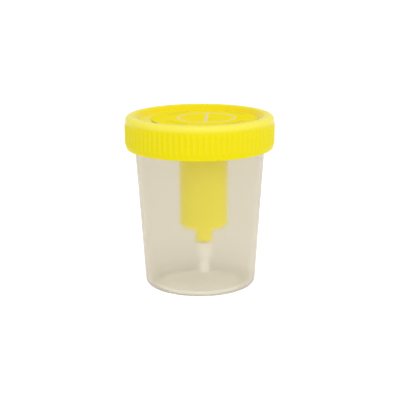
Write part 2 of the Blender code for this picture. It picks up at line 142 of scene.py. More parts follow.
def rounded_section(
    corners: list[tuple[float, ...]], spacing: float, closed: bool = True, offset: float = 0.0,
) -> np.ndarray:
    """Turn a section's corners into a fine line with true fillets.

    Each fillet is the circular arc of its radius that touches both sides of its corner, and its
    chords keep within SAG, and a fifth of the radius, of the true arc. The straight stretches are
    divided evenly, and a corner's axis offset goes over evenly to the next corner's.

    Args:
        corners: (radius, height, fillet) or (radius, height, fillet, axis offset) for each one.
        spacing: longest stretch between two points of the result.
        closed: whether the last corner joins the first; open ends keep no fillet.
        offset: the axis offset of the corners that give none.

    Returns:
        Rows of (radius, height, axis offset).
    """
    rows = np.array([(*corner, offset)[:4] for corner in corners], float)
    count = len(rows)
    pieces: list[np.ndarray] = []
    for index in range(count):
        here, fillet, shift = rows[index, :2], rows[index, 2], rows[index, 3]
        is_end = not closed and index in (0, count - 1)
        if is_end or fillet <= 0.0:
            pieces.append(np.array([[*here, shift]]))
            continue
        before = rows[index - 1, :2] - here
        after = rows[(index + 1) % count, :2] - here
        before_length, after_length = np.linalg.norm(before), np.linalg.norm(after)
        before, after = before / before_length, after / after_length
        half = math.acos(float(np.clip(before @ after, -1.0, 1.0))) / 2.0
        longest = SIDE_SHARE * min(before_length, after_length)
        reach = min(fillet / math.tan(half), longest)
        radius = reach * math.tan(half)
        middle = here + (before + after) / np.linalg.norm(before + after) * (radius / math.sin(half))
        start, end = here + before * reach, here + after * reach
        sweep = math.pi - 2.0 * half
        widest = 2.0 * math.acos(1.0 - min(0.2, SAG / radius))
        steps = max(3, math.ceil(radius * sweep / spacing), math.ceil(sweep / widest))
        share = np.linspace(0.0, sweep, steps + 1)[:, None]
        from_middle, towards = start - middle, end - middle
        arc = (from_middle * np.sin(sweep - share) + towards * np.sin(share)) / math.sin(sweep)
        pieces.append(np.column_stack([middle + arc, np.full(steps + 1, shift)]))
    line = np.vstack(pieces + ([pieces[0][:1]] if closed else []))
    lengths = np.linalg.norm(np.diff(line[:, :2], axis=0), axis=1)
    parts = np.maximum(1, np.ceil(lengths / spacing)).astype(int)
    at = np.concatenate([index + np.arange(part) / part for index, part in enumerate(parts)])
    if not closed:
        at = np.append(at, len(line) - 1)
    places = np.arange(len(line))
    return np.column_stack([np.interp(at, places, line[:, column]) for column in range(3)])


def turned_points(section: np.ndarray, around: int, relief: np.ndarray | float = 0.0) -> np.ndarray:
    """Carry a section round its axis: x = offset + (r + relief) cos a, y = (r + relief) sin a, z = z.

    Args:
        section: rows of (radius, height, axis offset).
        around: how many points a full turn has.
        relief: what is added to the radius, as one number or a (rows, around) grid.

    Returns:
        A (rows, around, 3) grid of points.
    """
    angle = angles(around)
    radius = section[:, :1] + relief + np.zeros((len(section), around))
    x = section[:, 2:3] + radius * np.cos(angle)
    y = radius * np.sin(angle)
    z = section[:, 1:2] + np.zeros_like(radius)
    return np.stack([x, y, z], axis=-1)


def mesh_from_grid(name: str, grid: np.ndarray, closed: bool) -> Object:
    """Make one closed smooth mesh of a grid of points that goes round an axis.

    Args:
        name: the piece's name.
        grid: (rows, around, 3) points in millimetres, with rows running up the outside.
        closed: whether the last row joins the first. Otherwise the first and last rows lie on
            the axis, and each of them becomes one point.

    Returns:
        The new object, in metres, at the origin.
    """
    rows, around = grid.shape[:2]
    column = np.arange(around)
    following = (column + 1) % around
    if closed:
        points = grid.reshape(-1, 3)
        first = np.arange(rows)[:, None] * around
        second = (np.arange(rows)[:, None] + 1) % rows * around
        caps = []
    else:
        points = np.vstack([grid[0, :1], grid[1:-1].reshape(-1, 3), grid[-1, :1]])
        first = 1 + np.arange(rows - 3)[:, None] * around
        second = first + around
        last_ring = 1 + (rows - 3) * around
        pole = len(points) - 1
        bottom = np.column_stack([np.zeros(around, int), 1 + following, 1 + column])
        top = np.column_stack([last_ring + column, last_ring + following, np.full(around, pole)])
        caps = bottom.tolist() + top.tolist()
    quads = np.stack([first + column, first + following, second + following, second + column], axis=-1)
    mesh = bpy.data.meshes.new(name)
    mesh.from_pydata((points * MM).tolist(), [], quads.reshape(-1, 4).tolist() + caps)
    mesh.update()
    mesh.shade_smooth()
    piece = bpy.data.objects.new(name, mesh)
    bpy.context.collection.objects.link(piece)
    return piece


def vertex_places(piece: Object) -> np.ndarray:
    """Where a piece's vertices are.

    Args:
        piece: the piece.

    Returns:
        Rows of x, y and z in millimetres.
    """
    points = np.empty(len(piece.data.vertices) * 3, np.float32)
    piece.data.vertices.foreach_get("co", points)
    return points.reshape(-1, 3) / MM


def mark_tint_and_painted_light(piece: Object, share: np.ndarray) -> None:
    """Write the colour mark at each vertex, from -1 to 1: the thicker wall's tint on the cup, painted shade
    and painted highlight on the lid.
    """
    layer = piece.data.attributes.new(TINT_AND_PAINTED_LIGHT, "FLOAT", "POINT")
    layer.data.foreach_set("value", share.astype(np.float32))


def add_flat_map(piece: Object, middle: tuple[float, float], width: float) -> None:
    """Give a flat piece a map of its own plan: u and v are x and y about middle, over width.

    The upper side takes the map's first square, and the underside the square beside it.

    Args:
        piece: the flat piece.
        middle: the plan's middle, in millimetres.
        width: how much of the plan the map's unit square covers, in millimetres.
    """
    mesh = piece.data
    corners = np.empty(len(mesh.loops), np.int32)
    mesh.loops.foreach_get("vertex_index", corners)
    plan = (vertex_places(piece)[corners, :2] - np.array(middle)) / width + 0.5
    normals = np.empty(len(mesh.polygons) * 3, np.float32)
    mesh.polygons.foreach_get("normal", normals)
    counts = np.empty(len(mesh.polygons), np.int32)
    mesh.polygons.foreach_get("loop_total", counts)
    plan[:, 0] += np.repeat(normals.reshape(-1, 3)[:, 2] < 0.5, counts)
    layer = mesh.uv_layers.new(name="plan")
    layer.data.foreach_set("uv", plan.astype(np.float32).ravel())


# ---------------------------------------------------------------- finishes
def linear(colour: str) -> tuple[float, float, float, float]:
    """An sRGB colour as a linear one.

    Args:
        colour: six hex digits after a #.

    Returns:
        Linear red, green and blue with full alpha.
    """
    channels = [int(colour[place:place + 2], 16) / 255.0 for place in (1, 3, 5)]
    curve = [c / 12.92 if c <= 0.04045 else ((c + 0.055) / 1.055) ** 2.4 for c in channels]
    return (*curve, 1.0)


def add_node(tree: NodeTree, kind: str, settings: dict[str, Any], *first: Any, **named: Any) -> Node:
    """Add a node with its settings, and give its sockets values or links.

    A socket that is given links, and so does a node, by its first output.

    Args:
        tree: the node tree.
        kind: the node's type.
        settings: the node's own properties.
        first: what its first sockets get, in order.
        named: what its others get, by name with _ for a space, or by place as in_6.

    Returns:
        The node.
    """
    node = tree.nodes.new(kind)
    for key, value in settings.items():
        setattr(node, key, value)
    inputs: dict[int | str, Any] = dict(enumerate(first))
    for key, value in named.items():
        inputs[int(key[3:]) if key.startswith("in_") else key.replace("_", " ")] = value
    for place, value in inputs.items():
        given = value.outputs[0] if isinstance(value, Node) else value
        if isinstance(given, NodeSocket):
            tree.links.new(given, node.inputs[place])
        else:
            node.inputs[place].default_value = given
    return node


@dataclass(frozen=True)
class Finish:
    """A surface made of one material: its colours, gloss and the relief its making leaves.

    Lengths are real ones in millimetres. The texture's own scale is their inverse.
    """

    name: str
    colour: str
    shade: str
    roughness: float = 0.4
    roughness_swing: float = 0.08
    specular: float = 0.5
    ior: float = 1.5
    mottle_mm: float = 14.0
    grain_mm: float = 0.5
    grain_depth_mm: float = 0.01
    metallic: float = 0.0
    transmission: float = 0.0
    clamp_layers: bool = True

    def place(self, tree: NodeTree) -> NodeSocket:
        """Where a point is on its piece, in millimetres."""
        spot = add_node(tree, "ShaderNodeTexCoord", {}).outputs["Object"]
        return add_node(tree, "ShaderNodeMapping", {}, Vector=spot, Scale=(1.0 / MM,) * 3).outputs[0]

    def mottle(self, tree: NodeTree, place: NodeSocket) -> NodeSocket:
        """Slow, soft variation over the piece, from 0 to 1."""
        return add_node(
            tree, "ShaderNodeTexNoise", {}, Vector=place, Scale=1.0 / self.mottle_mm, Detail=3.0,
            Roughness=0.55,
        ).outputs["Fac"]

    def layers(self, tree: NodeTree, place: NodeSocket) -> Layers:
        """Masks, with the colour that each brings in over the plain one. A plain finish has none."""
        return []

    def ground(self, tree: NodeTree, place: NodeSocket) -> NodeSocket:
        """The colour: it drifts a little between the finish's two, and the layers lie over it.

        Args:
            tree: the node tree.
            place: where a point is on its piece, in millimetres.

        Returns:
            The colour.
        """
        colour = add_node(
            tree, "ShaderNodeMix", {"data_type": "RGBA"}, self.mottle(tree, place),
            in_6=linear(self.colour), in_7=linear(self.shade),
        ).outputs[2]
        for mask, layer in self.layers(tree, place):
            colour = add_node(
                tree, "ShaderNodeMix", {"data_type": "RGBA", "clamp_factor": self.clamp_layers}, mask,
                in_6=colour, in_7=linear(layer),
            ).outputs[2]
        return colour

    def relief(self, tree: NodeTree, place: NodeSocket) -> NodeSocket:
        """The fine unevenness that the mould leaves, as a bump."""
        grain = add_node(
            tree, "ShaderNodeTexNoise", {}, Vector=place, Scale=1.0 / self.grain_mm, Detail=2.0,
            Roughness=0.6,
        )
        return add_node(
            tree, "ShaderNodeBump", {}, Strength=0.6, Distance=self.grain_depth_mm * MM,
            Height=grain.outputs["Fac"],
        ).outputs["Normal"]

    def build(self) -> Material:
        """Make the material.

        Returns:
            The material, with its Principled node given colour, roughness and bump.
        """
        material = bpy.data.materials.new(self.name)
        material.use_nodes = True
        tree = material.node_tree
        sockets = tree.nodes["Principled BSDF"].inputs
        sockets["Specular IOR Level"].default_value = self.specular
        sockets["IOR"].default_value = self.ior
        sockets["Metallic"].default_value = self.metallic
        sockets["Transmission Weight"].default_value = self.transmission
        place = self.place(tree)
        gloss = add_node(
            tree, "ShaderNodeMapRange", {}, Value=self.mottle(tree, place), From_Min=0.3, From_Max=0.7,
            To_Min=self.roughness - self.roughness_swing, To_Max=self.roughness + self.roughness_swing,
        )
        tree.links.new(self.ground(tree, place), sockets["Base Color"])
        tree.links.new(gloss.outputs[0], sockets["Roughness"])
        tree.links.new(self.relief(tree, place), sockets["Normal"])
        return material


@dataclass(frozen=True)
class PaintedLightYellow(Finish):
    """Yellow polyethylene, with painted light in its colour.

    It has painted shade, a deeper yellow, on the recess's sloped wall, and a painted highlight,
    a paler yellow, on the rim's rounded shoulder and faintly on the crests of the ribs.
    """

    # deep is the colour of the painted shade, pale the colour of the painted highlight.
    deep: str = "#e2ca00"
    pale: str = "#e6dc59"

    def layers(self, tree: NodeTree, place: NodeSocket) -> Layers:
        """The deeper colour as painted shade, and the paler one as painted highlight, where the mark asks
        for them.

        Args:
            tree: the node tree.
            place: where a point is on its piece, in millimetres.

        Returns:
            The masks and colours.
        """
        # The mark is painted shade above zero, and, turned round, painted highlight below zero.
        thick = add_node(tree, "ShaderNodeAttribute", {"attribute_name": TINT_AND_PAINTED_LIGHT}).outputs["Fac"]
        thin = add_node(tree, "ShaderNodeMath", {"operation": "MULTIPLY"}, thick, -1.0)
        return [(thick, self.deep), (thin, self.pale)]


@dataclass(frozen=True)
class FrostedPolypropylene(Finish):
    """Natural polypropylene, injection moulded in a blasted mould.

    The plastic is milky by itself and its skin is finely matt, so what stands behind the wall
    shows soft and veiled, and the veil is warm. Where light runs a long way in the plastic, along
    the wall at a glancing look or through the thick corner of the base, it is tinted deeper.
    """

    transmission: float = 0.95
    clamp_layers: bool = False
    deep: str = "#d6d0c3"
    glancing: tuple[float, float] = (0.66, 0.8)

    def layers(self, tree: NodeTree, place: NodeSocket) -> Layers:
        """The deeper tint, where light runs a long way in the wall.

        Args:
            tree: the node tree.
            place: where a point is on its piece, in millimetres.

        Returns:
            The mask and colour.
        """
        low, high = self.glancing
        along = add_node(
            tree, "ShaderNodeMapRange", {"interpolation_type": "SMOOTHSTEP"}, From_Min=low, From_Max=high,
            Value=add_node(tree, "ShaderNodeLayerWeight", {}, Blend=0.5).outputs["Facing"],
        )
        corner = add_node(tree, "ShaderNodeAttribute", {"attribute_name": TINT_AND_PAINTED_LIGHT}).outputs["Fac"]
        both = add_node(tree, "ShaderNodeMath", {"operation": "ADD"}, along, corner)
        long_way = add_node(tree, "ShaderNodeMath", {"operation": "MAXIMUM"}, both, 0.0)
        return [(long_way, self.deep)]

    def build(self) -> Material:
        """Make the material, and let lamplight through to what stands inside.

        Returns:
            The finished material.
        """
        material = super().build()
        tree = material.node_tree
        path = add_node(tree, "ShaderNodeLightPath", {})
        unseen = add_node(
            tree, "ShaderNodeMath", {"operation": "MAXIMUM"},
            path.outputs["Is Shadow Ray"], path.outputs["Is Diffuse Ray"],
        )
        clear = add_node(tree, "ShaderNodeBsdfTransparent", {}, Color=(1.0, 1.0, 1.0, 1.0))
        skin = tree.nodes["Principled BSDF"]
        wall = add_node(tree, "ShaderNodeMixShader", {}, unseen, skin, clear)
        tree.links.new(wall.outputs[0], tree.nodes["Material Output"].inputs["Surface"])
        return material


@dataclass(frozen=True)
class DrawnSteel(Finish):
    """Stainless tube, drawn and bright: fine scratches run along it and stretch its reflections."""

    metallic: float = 1.0
    lines_per_mm: tuple[float, float, float] = (8.0, 8.0, 0.25)

    def relief(self, tree: NodeTree, place: NodeSocket) -> NodeSocket:
        """Drawing lines along the tube: a noise that is long in height and short across.

        Args:
            tree: the node tree.
            place: where a point is on its piece, in millimetres.

        Returns:
            The bump.
        """
        lines = add_node(tree, "ShaderNodeMapping", {}, Vector=place, Scale=self.lines_per_mm)
        grain = add_node(tree, "ShaderNodeTexNoise", {}, Vector=lines, Scale=1.0, Detail=2.0)
        return add_node(
            tree, "ShaderNodeBump", {}, Strength=0.4, Distance=self.grain_depth_mm * MM,
            Height=grain.outputs["Fac"],
        ).outputs["Normal"]


@dataclass(frozen=True)
class PrintedFilm(Finish):
    """Coated film, printed and die cut: satin, with a pale ring and bar and short rows of dashes.

    Its underside is the pale sticky coat, without print. The print is laid out on the film's own
    map, so it stays with the film.
    """

    ink: str = "#d8ca98"
    dash_ink: str = "#b89c3c"
    backing: str = "#ece6b4"
    map_mm: float = 50.0
    ring_middle: tuple[float, float] = (0.9, 1.0)
    ring_mm: float = 12.4
    line_mm: float = 1.0
    bar_mm: float = 1.3
    bar_turn: float = math.radians(3.0)
    dash_rows_mm: tuple[tuple[float, float], ...] = ((17.5, 0.88), (19.26, 0.77))
    dashes_around: int = 56
    dash_share: float = 0.66
    dash_groups: int = 4
    group_edge: float = -0.25
    dash_strength: float = 0.6

    def place(self, tree: NodeTree) -> NodeSocket:
        """Where a point is about the ring's middle on the film's own map, in millimetres."""
        return add_node(
            tree, "ShaderNodeMapping", {}, Scale=(self.map_mm,) * 3,
            Vector=add_node(tree, "ShaderNodeUVMap", {"uv_map": "plan"}).outputs["UV"],
            Location=(*(-0.5 * self.map_mm - shift for shift in self.ring_middle), 0.0),
        ).outputs[0]

    def layers(self, tree: NodeTree, place: NodeSocket) -> Layers:
        """The print, and then the sticky coat, which hides all on the underside.

        Args:
            tree: the node tree.
            place: the place about the ring's middle, in millimetres.

        Returns:
            The masks and colours.
        """
        away = add_node(tree, "ShaderNodeVectorMath", {"operation": "LENGTH"}, place).outputs["Value"]
        under = add_node(
            tree, "ShaderNodeMath", {"operation": "GREATER_THAN"},
            add_node(tree, "ShaderNodeSeparateXYZ", {}, Vector=place).outputs["X"],
            0.5 * self.map_mm - self.ring_middle[0],
        )
        return [
            (self.dashes(tree, place, away), self.dash_ink),
            (self.ring_and_bar(tree, place, away), self.ink),
            (under, self.backing),
        ]

    def ring_and_bar(self, tree: NodeTree, place: NodeSocket, away: NodeSocket) -> NodeSocket:
        """The ring, and the straight bar across it, turned a little from the plan's y.

        Args:
            tree: the node tree.
            place: the place about the ring's middle, in millimetres.
            away: the distance from the ring's middle.

        Returns:
            The mask.
        """
        ring = add_node(
            tree, "ShaderNodeMath", {"operation": "COMPARE"}, away, self.ring_mm, self.line_mm / 2,
        )
        turned = add_node(
            tree, "ShaderNodeVectorRotate", {"rotation_type": "Z_AXIS"}, Vector=place, Angle=self.bar_turn,
        )
        across = add_node(tree, "ShaderNodeSeparateXYZ", {}, Vector=turned).outputs["X"]
        line = add_node(tree, "ShaderNodeMath", {"operation": "COMPARE"}, across, 0.0, self.bar_mm / 2)
        inside = add_node(tree, "ShaderNodeMath", {"operation": "LESS_THAN"}, away, self.ring_mm)
        bar = add_node(tree, "ShaderNodeMath", {"operation": "MULTIPLY"}, line, inside)
        return add_node(tree, "ShaderNodeMath", {"operation": "MAXIMUM"}, ring, bar).outputs[0]

    def dashes(self, tree: NodeTree, place: NodeSocket, away: NodeSocket) -> NodeSocket:
        """Two rows of short dashes round the ring, in groups with gaps between them.

        The angle times the dashes in a turn has a fraction that says where each dash ends, and
        the cosine of the angle times the number of groups says where a group is.

        Args:
            tree: the node tree.
            place: the place about the ring's middle, in millimetres.
            away: the distance from the ring's middle.

        Returns:
            The mask, below one because the print is faint.
        """
        parts = add_node(tree, "ShaderNodeSeparateXYZ", {}, Vector=place).outputs
        angle = add_node(tree, "ShaderNodeMath", {"operation": "ARCTAN2"}, parts["Y"], parts["X"])
        step = add_node(tree, "ShaderNodeMath", {"operation": "MULTIPLY"}, angle, self.dashes_around / TURN)
        share = add_node(tree, "ShaderNodeMath", {"operation": "FRACT"}, step)
        dash = add_node(tree, "ShaderNodeMath", {"operation": "LESS_THAN"}, share, self.dash_share)
        turns = add_node(tree, "ShaderNodeMath", {"operation": "MULTIPLY"}, angle, float(self.dash_groups))
        wave = add_node(tree, "ShaderNodeMath", {"operation": "COSINE"}, turns)
        group = add_node(tree, "ShaderNodeMath", {"operation": "LESS_THAN"}, wave, self.group_edge)
        inner, outer = (
            add_node(tree, "ShaderNodeMath", {"operation": "COMPARE"}, away, middle, width / 2)
            for middle, width in self.dash_rows_mm
        )
        mask = add_node(tree, "ShaderNodeMath", {"operation": "MAXIMUM"}, inner, outer)
        for factor in (dash, group, self.dash_strength):
            mask = add_node(tree, "ShaderNodeMath", {"operation": "MULTIPLY"}, mask, factor)
        return mask.outputs[0]


# Natural polypropylene, moulded in a blasted mould: a warm milky veil with soft shapes behind it.
CUP_FINISH = FrostedPolypropylene(
    "natural polypropylene, blasted mould", "#e3dfd5", "#e0dbce", roughness=0.44, roughness_swing=0.04,
    specular=0.5, ior=1.06, mottle_mm=16.0, grain_mm=0.35, grain_depth_mm=0.004,
)
# Yellow polyethylene, moulded in a satin mould: waxy, soft wide highlights, evenly coloured but for painted
# shade on the recess wall and a painted highlight on the shoulder and rib crests.
LID_FINISH = PaintedLightYellow(
    "yellow polyethylene, satin mould", "#e2d400", "#dfd000", roughness=0.27, roughness_swing=0.03,
    specular=0.1, mottle_mm=11.0, grain_mm=0.6, grain_depth_mm=0.004,
)
# The same polyethylene in a plain polished mould: a clear strong yellow, smoother than the lid, painted
# brighter than the lid's yellow to make up for the shade that the cup and lid cast on it.
WELL_FINISH = Finish(
    "yellow polyethylene, polished mould", "#f8ec02", "#f5e601", roughness=0.3, roughness_swing=0.04,
    specular=0.15, mottle_mm=9.0, grain_mm=0.8, grain_depth_mm=0.006,
)
# White polypropylene, moulded: opaque, matt, faintly warm.
HUB_FINISH = Finish("white polypropylene, moulded", "#eeede6", "#e4e2d8", roughness=0.42, grain_mm=0.4)
# Off-white elastomer, moulded: soft, dull, without a clear highlight.
SEAL_FINISH = Finish(
    "white elastomer, moulded", "#e6e5de", "#dad8ce", roughness=0.62, specular=0.3, mottle_mm=6.0,
    grain_mm=0.3,
)
# Grey isoprene, dipped and powdered: dull, with a dusty bloom.
SLEEVE_FINISH = Finish(
    "grey isoprene, dipped", "#6a6c6e", "#55575a", roughness=0.68, roughness_swing=0.06, specular=0.3,
    mottle_mm=2.5, grain_mm=0.18, grain_depth_mm=0.012,
)
# Stainless steel, drawn: bright, with lines along the tube.
NEEDLE_FINISH = DrawnSteel(
    "stainless steel, drawn", "#c9cacb", "#b4b6b8", roughness=0.2, roughness_swing=0.05, mottle_mm=3.0,
    grain_depth_mm=0.004,
)
# Natural polyethylene, moulded and extruded: cloudy white, waxy.
STRAW_FINISH = Finish(
    "natural polyethylene, extruded", "#f3f0e6", "#eeeadd", roughness=0.4, specular=0.3, mottle_mm=5.0,
    grain_mm=0.4, grain_depth_mm=0.006,
)
# Coated film, printed and die cut: satin yellow with pale ink.
LABEL_FINISH = PrintedFilm(
    "coated film, printed", "#e4d30c", "#e1ce08", roughness=0.6, specular=0.02, mottle_mm=10.0,
    grain_mm=0.7, grain_depth_mm=0.01,
)


# ---------------------------------------------------------------- pieces
def add_piece(
    name: str, grid: np.ndarray, body: Body, slot: Slot, material: Material, *nodes: str,
    closed: bool = True,
) -> Object:
    """Make a piece from its grid, give it its material, body and CAD nodes, and report it.

    Args:
        name: the piece's name.
        grid: its points, as mesh_from_grid takes them.
        body: the body it rides on.
        slot: not used.
        material: its material.
        nodes: the CAD nodes it replaces.
        closed: whether the grid's last row joins its first.

    Returns:
        The piece.
    """
    piece = mesh_from_grid(name, grid, closed)
    piece.data.materials.append(material)
    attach(piece, body.value)
    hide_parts(*nodes)
    LOG.info("%s: %d faces on %s", name, len(piece.data.polygons), body.value)
    return piece


@dataclass
class QuickThread:
    """Four short right-hand ridges on the cup, and the four lugs in the lid that run under them."""

    starts: int = 4
    lead: float = 10.0
    depth: float = 1.3
    root: float = 1.9
    tip: float = 1.0
    first: float = math.radians(1.7)
    sweep: float = math.radians(62.0)
    lug_sweep: float = math.radians(20.0)
    lug_lead_in: float = math.radians(2.0)
    run_out: float = math.radians(6.0)

    def height_at(
        self, angle: np.ndarray, height: np.ndarray, first: float, sweep: float, low: float,
    ) -> np.ndarray:
        """How far the ridges stand out at each angle and height.

        Across a ridge the height is a trapezoid with eased edges about the helix
        z = low + lead * along / turn, and it runs out to nothing at both ends.

        Args:
            angle: (1, around) angles.
            height: (rows, 1) heights.
            first: angle of the first ridge's low end.
            sweep: how far round a ridge reaches.
            low: height of the middle of a ridge's low end.

        Returns:
            A (rows, around) grid.
        """
        along = np.mod(angle - first, TURN / self.starts)
        middle = low + self.lead * along / TURN
        off = np.abs(height - middle)
        across = 1.0 - smooth_step(self.tip / 2, self.root / 2, off)
        run = min(self.run_out, sweep / 3)
        ends = smooth_step(0.0, run, along) * (1.0 - smooth_step(sweep - run, sweep, along))
        return self.depth * across * ends


@dataclass
class Cup:
    """The tapered cup: standing ring, rounded base, thin wall, slight shoulder, threaded neck and rim."""

    thread: QuickThread
    taper: float = math.tan(math.radians(3.92))
    wall: float = 1.2
    corner: float = 3.6
    inner_corner: float = 2.6
    floor: float = 1.4
    ring_height: float = 0.8
    ring_width: float = 2.2
    neck_height: float = 9.6
    shoulder: float = 0.35
    rim_round: float = 0.4
    gate: float = 0.9
    gate_depth: float = 0.25
    ridge_below_rim: float = 5.0
    corner_depth: float = 0.9
    ring_depth: float = 0.5
    flat_ease: float = 0.5
    corner_fall: tuple[float, float] = (-1.6, 0.4)
    ring_rise: tuple[float, float] = (-3.4, -2.4)
    skin_depth: float = 1.5
    box_step: float = 0.05
    spacing: float = 0.5
    around: int = 232

    def section(self, height: float, neck: float) -> np.ndarray:
        """The wall's section, from the middle of the underside round to the middle of the floor.

        Args:
            height: the rim's height.
            neck: the neck's outer radius.

        Returns:
            The section's rows.
        """
        neck_z = height - self.neck_height
        upper = neck + self.shoulder
        foot = upper - neck_z * self.taper
        base = foot + self.corner * self.taper
        ring = base - self.corner - self.ring_width
        gate_z = self.ring_height + self.gate_depth
        floor_z = self.ring_height + self.floor
        inner_foot = foot - self.wall + floor_z * self.taper
        return rounded_section([
            (0.0, gate_z, 0.0), (self.gate, gate_z, 0.2),
            (self.gate + 2.0 * self.gate_depth, self.ring_height, 0.3),
            (ring - self.ring_height, self.ring_height, 0.6), (ring, 0.0, 0.35),
            (foot, 0.0, self.corner), (upper, neck_z - 0.5, 0.2), (neck, neck_z, 0.2),
            (neck, height, self.rim_round), (neck - self.wall, height, self.rim_round),
            (neck - self.wall, neck_z, 4.0), (inner_foot, floor_z, self.inner_corner), (0.0, floor_z, 0.0),
        ], self.spacing, closed=False)

    def corner_share(self, places: np.ndarray) -> np.ndarray:
        """How thick the base counts as: its corner and the standing ring most, its flat least.

        Args:
            places: the cup's vertices.

        Returns:
            The corner's depth on it, more on the ring, easing to zero above, and less than zero on the flat.
        """
        x, y, z = places.T
        out = np.hypot(x, y)
        foot = out[z < self.corner].max()
        inner_floor = self.ring_height + self.floor
        low = 1.0 - smooth_step(*self.corner_fall, z - self.corner)
        ring = smooth_step(*self.ring_rise, out - foot + self.corner)
        inner_side = foot - self.skin_depth + (z - self.corner) * self.taper
        outside = (z < self.ring_height + 2.0 * NEAR) | (out > inner_side)
        lowest = 1.0 - smooth_step(self.ring_height, 3.0 * self.ring_height, z)
        flat = (z < inner_floor + NEAR) * (1.0 - ring)
        deep = self.corner_depth + self.ring_depth * lowest
        return deep * low * ring * outside - self.flat_ease * flat

    def build(self) -> None:
        """Make the cup, its neck's radius rounded to box_step, because facets keep the box small."""
        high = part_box("cup_body")[1]
        height = high[2] / MM
        neck = round((high[0] / MM - self.thread.depth) / self.box_step) * self.box_step
        section = self.section(height, neck)
        ridges = self.thread.height_at(
            angles(self.around), section[:, 1:2], self.thread.first, self.thread.sweep,
            height - self.ridge_below_rim,
        )
        ridges = ridges * (np.abs(section[:, :1] - neck) < NEAR)
        grid = turned_points(section, self.around, ridges)
        finish = CUP_FINISH.build()
        piece = add_piece("cup_shell", grid, Body.CUP, Slot.CUP, finish, "cup_body", closed=False)
        mark_tint_and_painted_light(piece, self.corner_share(vertex_places(piece)))


